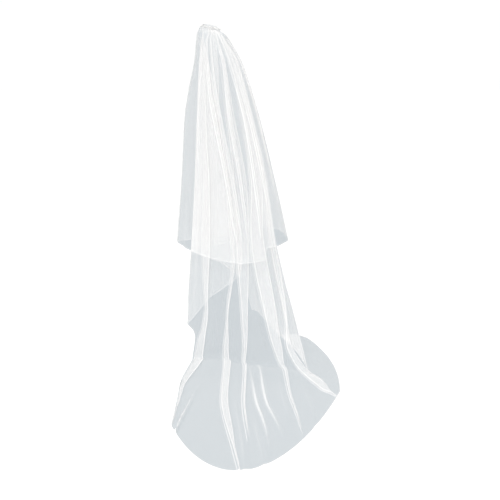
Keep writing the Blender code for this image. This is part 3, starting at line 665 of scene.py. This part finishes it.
def add_sheet(name, tier, lines, counts, creases, material):
    """One tier's net as a single open sheet, with the masks and the flat map for its material."""
    rows = rows_between(counts)
    courses = Courses.of(lines, rows)
    courses = courses.rounded().filled(tier, rows, FINE_PANEL)
    pressed = pressed_edges(tier, courses, rows)
    columns = []
    for order, hem in enumerate(courses.hems):
        levels = np.append(rows[rows < hem - LEAST_ROW], hem)
        across = np.interp(levels, rows, courses.across[order])
        proud = np.interp(levels, rows, courses.proud[order])
        columns.append((levels, across, proud, np.interp(levels, rows, pressed[order])))
    counted = [len(column[0]) for column in columns]
    levels, across, proud, pressed = (np.concatenate(parts) for parts in zip(*columns))
    points = tier.point(across, levels, proud)
    out = tier.point(across, levels, np.full(len(levels), PROBE)) - tier.plain(across, levels)
    height, creases_pressed = crease_shape(tier, across, levels, creases)
    points += out / PROBE * (height + ripple_height(across, levels))[:, None]
    points += raw_edge_shift(points, across, levels)
    if "foot" in tier.table["name"]:
        points[:, 2] += sweep_height(tier, across, levels)
    points[:, 2] = np.maximum(points[:, 2], NET_ON_FLOOR)
    mesh = bpy.data.meshes.new(name)
    mesh.from_pydata([tuple(point) for point in points], [], sheet_faces(counted))
    mesh.validate()
    mesh.update()
    piece = add_object(name, mesh, material)
    map_sheet(piece, points, counted)
    store(piece, "pressed", np.maximum(pressed, creases_pressed))
    store(piece, "gathered", steady_curve(levels, *zip(*GATHERED)))
    piece.data.shade_smooth()
    return piece


def sheet_faces(counts):
    """Faces of a sheet whose lines have these counts of points."""
    firsts = np.concatenate([[0], np.cumsum(counts)]).tolist()
    faces = []
    for line in range(len(counts) - 1):
        first, second = firsts[line], firsts[line + 1]
        short = min(counts[line], counts[line + 1])
        for row in range(short - 1):
            faces.append((first + row, first + row + 1, second + row + 1, second + row))
        for row in range(short - 1, counts[line + 1] - 1):
            faces.append((first + short - 1, second + row + 1, second + row))
        for row in range(short - 1, counts[line] - 1):
            faces.append((first + row, first + row + 1, second + short - 1))
    return faces


def store(piece, name, values):
    """Keeps one number for each point of the mesh, for its material."""
    attribute = piece.data.attributes.new(name, "FLOAT", "POINT")
    attribute.data.foreach_set("value", values.astype(np.float32))


def map_sheet(piece, points, counts):
    """Lays the sheet out flat in metres as its UV map, and stores each point's way to an edge."""
    firsts = np.concatenate([[0], np.cumsum(counts)])
    down = np.zeros(len(points))
    for line, count in enumerate(counts):
        part = slice(firsts[line], firsts[line] + count)
        steps = np.linalg.norm(np.diff(points[part], axis=0), axis=-1)
        down[part] = np.concatenate([[0], np.cumsum(steps)])
    sideways = [0.0]
    for line in range(len(counts) - 1):
        here, after = firsts[line], firsts[line + 1]
        short = min(counts[line], counts[line + 1])
        gap = points[after:after + short] - points[here:here + short]
        sideways.append(sideways[-1] + np.linalg.norm(gap, axis=-1).max())
    aside = np.repeat(sideways, counts)
    full = np.repeat(down[firsts[1:] - 1], counts)
    edge = np.minimum.reduce([full - down, aside, aside[-1] - aside])
    mesh = piece.data
    store(piece, "rim", edge)
    corners = np.zeros(len(mesh.loops), dtype=np.int32)
    mesh.loops.foreach_get("vertex_index", corners)
    places = np.stack([aside, down], axis=-1)[corners]
    flat = mesh.uv_layers.new(name="flat")
    flat.data.foreach_set("uv", places.astype(np.float32).ravel())


def add_object(name, mesh, material):
    piece = bpy.data.objects.new(name, mesh)
    piece.data.materials.append(material)
    bpy.context.scene.collection.objects.link(piece)
    return piece


def add_long_net(material):
    lines = cascade_lines(LONG)
    left_fold = lines[-1]
    first_fold = flat_fold(LONG, LONG_FOLDS[0])
    levels = [0.0, 1.0, *LONG.level_of("shoulder", "knee")]
    for at_comb, below, hem in CUT_LINES:
        part = course(levels, [at_comb, at_comb, below, below])
        lines.append(between(left_fold, first_fold[0], part, hem))
    lines += first_fold
    for row in LONG_FOLDS[1:]:
        if row[0] == "far fold":
            lines.append(Line(steady(1.0), steady(0.0), LONG.levels[-1]))
        lines += flat_fold(LONG, row)
    lines += [Line(steady(across), steady(0.0), hem) for across, hem in LONG_FAR_LINES]
    return add_sheet("long_tier_net", LONG, lines, LONG_ROWS, LONG_CREASES, material)


def add_upper_net(material):
    lines = [
        Line(steady(-1.0), steady(0.0), UPPER_FRONT_HEM),
        Line(steady(0.0), steady(0.0), UPPER_LEFT_HEM),
    ]
    for row in UPPER_FOLDS:
        if row[0] == "far gather":
            lines.append(Line(steady(1.0), steady(0.0), UPPER_RIGHT_HEM))
        fold_lines = flat_fold(UPPER, row)
        if row[0] == "edge gather":
            lines.append(between(lines[-1], fold_lines[0], steady(HEM_STEP[0]), HEM_STEP[1]))
        lines += fold_lines
    lines.append(Line(steady(2.0), steady(0.0), UPPER_FAR_HEM))
    return add_sheet("upper_tier_net", UPPER, lines, UPPER_ROWS, UPPER_CREASES, material)


# Materials

class Nodes:
    """Short ways to add and join the nodes of one tree."""

    def __init__(self, tree):
        self.tree = tree

    def add(self, kind, inputs=(), **settings):
        node = self.tree.nodes.new(kind)
        for name, value in settings.items():
            setattr(node, name, value)
        for name, value in dict(inputs).items():
            self.join(value, node.inputs[name])
        return node

    def join(self, value, socket):
        if isinstance(value, bpy.types.NodeSocket):
            self.tree.links.new(value, socket)
        else:
            socket.default_value = value

    def maths(self, operation, *values, clamp=False):
        inputs = enumerate(values)
        return self.add("ShaderNodeMath", inputs, operation=operation, use_clamp=clamp).outputs[0]

    def mapped(self, value, low, high, to_low, to_high, kind="SMOOTHSTEP"):
        names = ("Value", "From Min", "From Max", "To Min", "To Max")
        inputs = zip(names, (value, low, high, to_low, to_high))
        return self.add("ShaderNodeMapRange", inputs, interpolation_type=kind).outputs["Result"]


def new_material(name, finish):
    """A material whose finish gives the sockets that have one value all over."""
    material = bpy.data.materials.new(name)
    material.use_nodes = True
    shader = material.node_tree.nodes["Principled BSDF"]
    for socket, value in finish.items():
        shader.inputs[socket].default_value = value
    return material, Nodes(material.node_tree), shader


NET_HOLE = 0.0013             # from one hole of the net to the next
HOLE_DIRECTIONS = (0.0, 60.0, 120.0)
HOLE_EDGES = (-1.3, 1.2)      # of the three waves' sum, from a thread's middle to a hole's
STREAK_STRETCH = (70.0, 1.6, 1.0)
STREAK_GRAIN = {"Scale": 1.0, "Detail": 4.0, "Roughness": 0.6}
STREAK_EDGES = (0.32, 0.72)
RIM_WIDTH = 0.0080
RIM_PLAIN = 0.4               # of its width, over which the cut edge has its full white
PRESSED_SHARPNESS = 2.2
# How many times its own cover the gathered net has, down the levels
GATHERED = ((0.0, 1.7), (1.0, 1.4), (2.0, 1.2), (3.0, 1.1), (4.0, 1.0), (BELOW_HEM, 1.0))


def net_group():
    """Masks of the net: threads and faint streaks over its flat map, rims, folds and gathers."""
    tree = bpy.data.node_groups.new("net_masks", "ShaderNodeTree")
    for name in ("Hole Size", "Rim Width"):
        tree.interface.new_socket(name, in_out="INPUT", socket_type="NodeSocketFloat")
    for name in ("Threads", "Streaks", "Rim", "Pressed", "Gathered"):
        tree.interface.new_socket(name, in_out="OUTPUT", socket_type="NodeSocketFloat")
    nodes = Nodes(tree)
    sizes = nodes.add("NodeGroupInput")
    flat = nodes.add("ShaderNodeUVMap", uv_map="flat").outputs["UV"]
    split = nodes.add("ShaderNodeSeparateXYZ", {0: flat})
    turns = nodes.maths("DIVIDE", math.tau, sizes.outputs["Hole Size"])
    across = nodes.maths("MULTIPLY", split.outputs["X"], turns)
    down = nodes.maths("MULTIPLY", split.outputs["Y"], turns)
    waves = []
    for angle in HOLE_DIRECTIONS:
        one = nodes.maths("MULTIPLY", across, math.cos(math.radians(angle)))
        other = nodes.maths("MULTIPLY", down, math.sin(math.radians(angle)))
        waves.append(nodes.maths("COSINE", nodes.maths("ADD", one, other)))
    total = nodes.maths("ADD", nodes.maths("ADD", waves[0], waves[1]), waves[2])
    stretch = nodes.add("ShaderNodeMapping", {"Scale": STREAK_STRETCH, "Vector": flat})
    grain = nodes.add("ShaderNodeTexNoise", {**STREAK_GRAIN, "Vector": stretch.outputs["Vector"]})
    stored = {name: nodes.add("ShaderNodeAttribute", attribute_name=name).outputs["Fac"]
              for name in ("rim", "pressed", "gathered")}
    width = sizes.outputs["Rim Width"]
    plain = nodes.maths("MULTIPLY", width, RIM_PLAIN)
    nodes.add("NodeGroupOutput", {
        "Threads": nodes.mapped(total, *HOLE_EDGES, 1.0, 0.0),
        "Streaks": nodes.mapped(grain.outputs["Fac"], *STREAK_EDGES, 0.0, 1.0),
        "Rim": nodes.mapped(stored["rim"], plain, width, 1.0, 0.0),
        "Pressed": nodes.maths("POWER", stored["pressed"], PRESSED_SHARPNESS),
        "Gathered": stored["gathered"],
    })
    return tree


NET_FINISH = {"Roughness": 0.62, "IOR": 1.35, "Sheen Weight": 0.12, "Sheen Roughness": 0.45}
LONG_NET_COLOUR = (0.880, 0.876, 0.874, 1.0)
UPPER_NET_COLOUR = (0.880, 0.875, 0.872, 1.0)
THREAD_COVER = 0.225          # the share of the net that its threads cover, seen square on
HOLE_COVER = 0.66             # times that share in a hole's middle
MESH_COVER = 0.5              # and this much more on the threads round it
STREAK_COVER = 0.045          # and this much more in a streak
RIM_COVER = 0.14              # the share that the cut edge and the pressed folds cover beyond it
PRESSED_COVER = 0.42
FULL_COVER = 0.97
EDGE_ON = 0.38                # how fast the cover grows as the net turns edge on
EDGE_ON_LIMIT = 0.03
MESH_BUMP = {"Strength": 0.25, "Distance": 0.0004}


def net_material(name, masks, colour):
    """Sheer net: its threads cover more of what lies behind it where it turns edge on."""
    material, nodes, shader = new_material(name, {**NET_FINISH, "Base Color": colour})
    group = nodes.add("ShaderNodeGroup", node_tree=masks)
    nodes.join(NET_HOLE, group.inputs["Hole Size"])
    nodes.join(RIM_WIDTH, group.inputs["Rim Width"])
    mask = group.outputs
    facing = nodes.add("ShaderNodeLayerWeight", {"Blend": 0.5}).outputs["Facing"]
    square = nodes.maths("MAXIMUM", nodes.maths("SUBTRACT", 1.0, facing), EDGE_ON_LIMIT)
    turned = nodes.maths("MULTIPLY", nodes.maths("POWER", square, -EDGE_ON), mask["Gathered"])
    threads = nodes.maths("MULTIPLY_ADD", mask["Threads"], MESH_COVER, HOLE_COVER)
    threads = nodes.maths("MULTIPLY_ADD", mask["Streaks"], STREAK_COVER, threads)
    base = nodes.maths("MULTIPLY", threads, THREAD_COVER)
    base = nodes.maths("MULTIPLY_ADD", mask["Rim"], RIM_COVER, base)
    base = nodes.maths("MULTIPLY_ADD", mask["Pressed"], PRESSED_COVER, base)
    base = nodes.maths("MINIMUM", base, FULL_COVER)
    clear = nodes.maths("POWER", nodes.maths("SUBTRACT", 1.0, base), turned)
    nodes.join(nodes.maths("SUBTRACT", 1.0, clear, clamp=True), shader.inputs["Alpha"])
    bump = nodes.add("ShaderNodeBump", {**MESH_BUMP, "Height": mask["Threads"]})
    nodes.join(bump.outputs["Normal"], shader.inputs["Normal"])
    return material


PLASTIC_FINISH = {"Base Color": (0.95, 0.95, 0.94, 1.0), "Alpha": 0.55, "Coat Weight": 0.4}
MOTTLE_SCALE = 140.0
MOTTLE_EDGES = (0.3, 0.7)
MOTTLE_ROUGHNESS = (0.12, 0.26)


def plastic_material():
    """Clear moulded plastic with a soft mottle."""
    material, nodes, shader = new_material("dressed_clear_plastic", PLASTIC_FINISH)
    place = nodes.add("ShaderNodeTexCoord").outputs["Object"]
    noise = nodes.add("ShaderNodeTexNoise", {"Scale": MOTTLE_SCALE, "Vector": place})
    mottle = nodes.mapped(noise.outputs["Fac"], *MOTTLE_EDGES, *MOTTLE_ROUGHNESS)
    nodes.join(mottle, shader.inputs["Roughness"])
    return material


THREAD_FINISH = {"Base Color": (0.93, 0.93, 0.92, 1.0)}
THREAD_TWIST = {"Scale": 900.0, "Distortion": 1.5}
THREAD_BUMP = 0.0001
THREAD_ROUGHNESS = (0.45, 0.6)


def thread_material():
    """Sewing thread with a fine twist."""
    material, nodes, shader = new_material("sewing_thread", THREAD_FINISH)
    place = nodes.add("ShaderNodeTexCoord").outputs["Object"]
    twist = nodes.add("ShaderNodeTexWave", {**THREAD_TWIST, "Vector": place}).outputs["Fac"]
    bump = nodes.add("ShaderNodeBump", {"Distance": THREAD_BUMP, "Height": twist})
    nodes.join(bump.outputs["Normal"], shader.inputs["Normal"])
    nodes.join(nodes.mapped(twist, 0.0, 1.0, *THREAD_ROUGHNESS), shader.inputs["Roughness"])
    return material


# The comb under the gathers

BAR_ROUNDING = 0.0009
TOOTH_SIDES = 8
TOOTH_SPREAD = 1.08           # how much wider the teeth's corners stand than their plain sizes
TOOTH_RINGS = (
    # down lean width depth
    (-0.02, 0.00, 0.80, 0.80),
    (0.08, 0.03, 0.98, 0.85),
    (0.30, 0.18, 0.92, 0.80),
    (0.60, 0.47, 0.78, 0.62),
    (0.85, 0.80, 0.55, 0.45),
    (0.96, 0.95, 0.38, 0.34),
    (1.00, 1.00, 0.14, 0.14),
)


def tooth_ring(down, lean, width, depth):
    """The middle of one ring of a tooth, which leans to the head, and the ring's half sizes."""
    middle = Vector((
        0.0,
        lean * TOOTH_LENGTH * math.sin(TOOTH_LEAN),
        -BAR_HEIGHT / 2 - down * TOOTH_LENGTH * math.cos(TOOTH_LEAN),
    ))
    half = TOOTH_SPREAD / 2
    return middle, Vector((width * TOOTH_WIDTH * half, depth * BAR_DEPTH * half, 1.0))


def add_tooth():
    """One tooth under the comb's middle: a ring drawn out down its lean, and in towards its tip."""
    middle, size = tooth_ring(*TOOTH_RINGS[0])
    bpy.ops.mesh.primitive_circle_add(vertices=TOOTH_SIDES, radius=1.0, fill_type="NGON",
                                      location=middle, rotation=(0, 0, math.pi / TOOTH_SIDES))
    tooth = bpy.context.object
    bpy.ops.object.transform_apply(location=True, rotation=True, scale=True)
    bpy.ops.object.mode_set(mode="EDIT")
    bpy.ops.mesh.select_all(action="SELECT")
    bpy.ops.transform.resize(value=size, center_override=middle)
    for row in TOOTH_RINGS[1:]:
        above, size_above = middle, size
        middle, size = tooth_ring(*row)
        step = {"value": middle - above}
        bpy.ops.mesh.extrude_region_move(TRANSFORM_OT_translate=step)
        shares = [new / old for new, old in zip(size, size_above)]
        bpy.ops.transform.resize(value=shares, center_override=middle)
    bpy.ops.object.mode_set(mode="OBJECT")
    return tooth


def add_comb(material):
    """The hair comb: a rounded bar with tapered teeth under it."""
    bpy.ops.object.select_all(action="DESELECT")
    tooth = add_tooth()
    pitch = (COMB_WIDTH - TOOTH_WIDTH) / (TOOTH_COUNT - 1)
    teeth = [tooth] + [tooth.copy() for _ in range(TOOTH_COUNT - 1)]
    for order, copy in enumerate(teeth):
        if copy is not tooth:
            copy.data = tooth.data.copy()
            bpy.context.scene.collection.objects.link(copy)
        copy.location.x = -COMB_WIDTH / 2 + TOOTH_WIDTH / 2 + order * pitch
    bpy.ops.mesh.primitive_cube_add(size=1.0)
    comb = bpy.context.object
    comb.name = comb.data.name = "comb_dressed"
    comb.scale = (COMB_WIDTH, BAR_DEPTH, BAR_HEIGHT)
    bpy.ops.object.transform_apply(location=False, rotation=False, scale=True)
    bevel = comb.modifiers.new("rounding", "BEVEL")
    bevel.width = BAR_ROUNDING
    bevel.segments = 3
    bevel.limit_method = "NONE"
    bpy.ops.object.modifier_apply(modifier=bevel.name)
    for copy in teeth:
        copy.select_set(True)
    bpy.ops.object.join()
    comb.matrix_world = Matrix.Rotation(COMB_TURN, 4, "Z") @ Matrix.Rotation(COMB_TILT, 4, "Y")
    bpy.ops.object.transform_apply(location=True, rotation=True, scale=True)
    bpy.ops.object.mode_set(mode="EDIT")
    bpy.ops.mesh.select_all(action="SELECT")
    bpy.ops.mesh.normals_make_consistent(inside=False)
    bpy.ops.object.mode_set(mode="OBJECT")
    comb.data.shade_smooth()
    comb.data.materials.clear()
    comb.data.materials.append(material)
    comb.select_set(False)
    return comb


# Loops of thread round the comb's bar that hold the gathers on it, in metres from its middle
STITCH_COUNT = 32
THREAD = 0.00035
STITCH_CORNERS = 20
STITCH_LOW = -0.0062
STITCH_HIGH = 0.0034
STITCH_NEAR = -BAR_DEPTH / 2 - 0.0006
STITCH_FAR = UPPER_SET_BACK + PLEAT_DEPTH + 0.0012
UNEVEN_TOP = (0.0005, 3.1)    # how much the loops differ, and the pace of it from one to the next
UNEVEN_SLANT = (0.0012, 2.4)


def add_stitches(material):
    """The loops of thread, one by one along the comb."""
    shape = bmesh.new()
    for order in range(STITCH_COUNT):
        along = (order + 0.5) / STITCH_COUNT * COMB_WIDTH - COMB_WIDTH / 2
        slant = UNEVEN_SLANT[0] * math.sin(UNEVEN_SLANT[1] * order)
        high = STITCH_HIGH + UNEVEN_TOP[0] * math.sin(UNEVEN_TOP[1] * order)
        loop = []
        for corner in range(STITCH_CORNERS):
            angle = math.tau * corner / STITCH_CORNERS
            reach, rise = math.cos(angle), math.sin(angle)
            behind = (STITCH_NEAR + STITCH_FAR) / 2 + (STITCH_FAR - STITCH_NEAR) / 2 * reach
            height = (STITCH_LOW + high) / 2 + (high - STITCH_LOW) / 2 * rise
            place = comb_point(along + slant * rise, behind)
            loop.append(Vector(tilted(*place, height, COMB_TILT)))
        add_tube(shape, loop, THREAD)
    bmesh.ops.recalc_face_normals(shape, faces=shape.faces)
    mesh = bpy.data.meshes.new("comb_stitching")
    shape.to_mesh(mesh)
    shape.free()
    mesh.shade_smooth()
    return add_object("comb_stitching", mesh, material)


def add_tube(shape, path, radius, sides=5):
    """A closed tube round a loop of points."""
    middle = sum(path, Vector()) / len(path)
    normal = (path[0] - middle).cross(path[len(path) // 4] - middle).normalized()
    rings = []
    for point in path:
        out = (point - middle).normalized()
        rings.append([
            shape.verts.new(point + radius * (math.cos(turn) * out + math.sin(turn) * normal))
            for turn in (math.tau * side / sides for side in range(sides))
        ])
    for one, two in zip(rings, rings[1:] + rings[:1]):
        for side in range(sides):
            after = (side + 1) % sides
            shape.faces.new((one[side], one[after], two[after], two[side]))


# The stage, the light and the camera

FLOOR_RADIUS = 60.0
FLOOR_FINISH = {"Base Color": (0.93, 0.93, 0.93, 1.0), "Roughness": 0.9}
PAINTED_SHADE_BEHIND_NET = (0.470, 0.525, 0.562, 1.0)   # painted shade: a dim colour shown for the floor and world wherever the camera sees them through net
PAINTED_POOL_PLACE = (0.22, -1.30, FLOOR)   # a painted pool of light: the painted shade behind net glows a little brighter round here
# how much brighter the painted pool of light is, and over what distances it fades out
PAINTED_POOL_LIGHT = 1.05
PAINTED_POOL_REACH = (0.50, 1.45)
WORLD_COLOUR = (1.0, 0.998, 0.992, 1.0)
WORLD_LIGHT = 1.04
WORLD_SEEN = 1.02             # how bright the world is to the camera itself
KEY_LIGHT = 1.20
KEY_SPREAD = math.radians(40)
KEY_TURN = (math.radians(38), math.radians(-6), math.radians(-8))


def paint_shade_behind_net(nodes, plain, painted_shade, output):
    """Shows the plain shader, and the painted shade where the camera sees it through net."""
    path = nodes.add("ShaderNodeLightPath")
    through = nodes.maths("GREATER_THAN", path.outputs["Transparent Depth"], 0.5)
    through = nodes.maths("MULTIPLY", through, path.outputs["Is Camera Ray"])
    mix = nodes.add("ShaderNodeMixShader", {0: through, 1: plain.outputs[0], 2: painted_shade.outputs[0]})
    nodes.join(mix.outputs[0], output.inputs["Surface"])


def add_stage():
    bpy.ops.mesh.primitive_circle_add(vertices=96, radius=FLOOR_RADIUS, fill_type="NGON",
                                      location=(0, 0, FLOOR))
    floor = bpy.context.object
    floor.name = "pale_floor"
    material, nodes, shader = new_material("pale_floor", FLOOR_FINISH)
    place = nodes.add("ShaderNodeNewGeometry").outputs["Position"]
    # Painted pool of light: the painted shade glows brighter near this place
    apart = nodes.add("ShaderNodeVectorMath", {0: place, 1: PAINTED_POOL_PLACE}, operation="DISTANCE")
    painted_pool = nodes.mapped(apart.outputs["Value"], *PAINTED_POOL_REACH, PAINTED_POOL_LIGHT, 1.0)
    # Painted shade: a glowing dim colour that the camera sees through net in place of the lit floor
    painted_shade = nodes.add("ShaderNodeEmission", {"Color": PAINTED_SHADE_BEHIND_NET, "Strength": painted_pool})
    paint_shade_behind_net(nodes, shader, painted_shade, material.node_tree.nodes["Material Output"])
    floor.data.materials.append(material)


def add_light():
    world = bpy.data.worlds.new("studio")
    bpy.context.scene.world = world
    world.use_nodes = True
    nodes = Nodes(world.node_tree)
    seen = nodes.add("ShaderNodeLightPath").outputs["Is Camera Ray"]
    light = world.node_tree.nodes["Background"]
    nodes.join(WORLD_COLOUR, light.inputs["Color"])
    strength = nodes.mapped(seen, 0.0, 1.0, WORLD_LIGHT, WORLD_SEEN, kind="LINEAR")
    nodes.join(strength, light.inputs["Strength"])
    # Painted shade: the world seen through net shows this dim colour in place of its light
    painted_shade = nodes.add("ShaderNodeBackground", {"Color": PAINTED_SHADE_BEHIND_NET})
    paint_shade_behind_net(nodes, light, painted_shade, world.node_tree.nodes["World Output"])
    sun = bpy.data.lights.new("key", "SUN")
    sun.energy = KEY_LIGHT
    sun.angle = KEY_SPREAD
    key = bpy.data.objects.new("key", sun)
    key.rotation_euler = KEY_TURN
    bpy.context.scene.collection.objects.link(key)


CAMERA_PLACE = (0.1897, -4.5, -0.2)
CAMERA_DOWN = math.radians(11.05)
SENSOR = 36.0
CAMERA_LENS = SENSOR * 922.0 / 500.0


def add_camera():
    data = bpy.data.cameras.new("camera")
    data.lens = CAMERA_LENS
    data.sensor_width = SENSOR
    camera = bpy.data.objects.new("camera", data)
    camera.location = CAMERA_PLACE
    camera.rotation_euler = (math.pi / 2 - CAMERA_DOWN, 0.0, 0.0)
    bpy.context.scene.collection.objects.link(camera)
    bpy.context.scene.camera = camera


NET_LAYERS_LIT = 64           # how many layers of net light passes through


def main():
    masks = net_group()
    long_net = add_long_net(net_material("dressed_long_net", masks, LONG_NET_COLOUR))
    upper_net = add_upper_net(net_material("dressed_upper_net", masks, UPPER_NET_COLOUR))
    comb = add_comb(plastic_material())
    stitches = add_stitches(thread_material())
    for piece, node, slot in ((long_net, "long_tier", "long_net"),
                              (upper_net, "upper_tier", "upper_net"),
                              (comb, "comb", "clear_plastic")):
        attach(piece, "root")
        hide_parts(node)
    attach(stitches, "root")
    add_stage()
    add_light()
    add_camera()
    bpy.context.scene.view_settings.view_transform = "Standard"
    bpy.context.scene.cycles.transparent_max_bounces = NET_LAYERS_LIT


main()
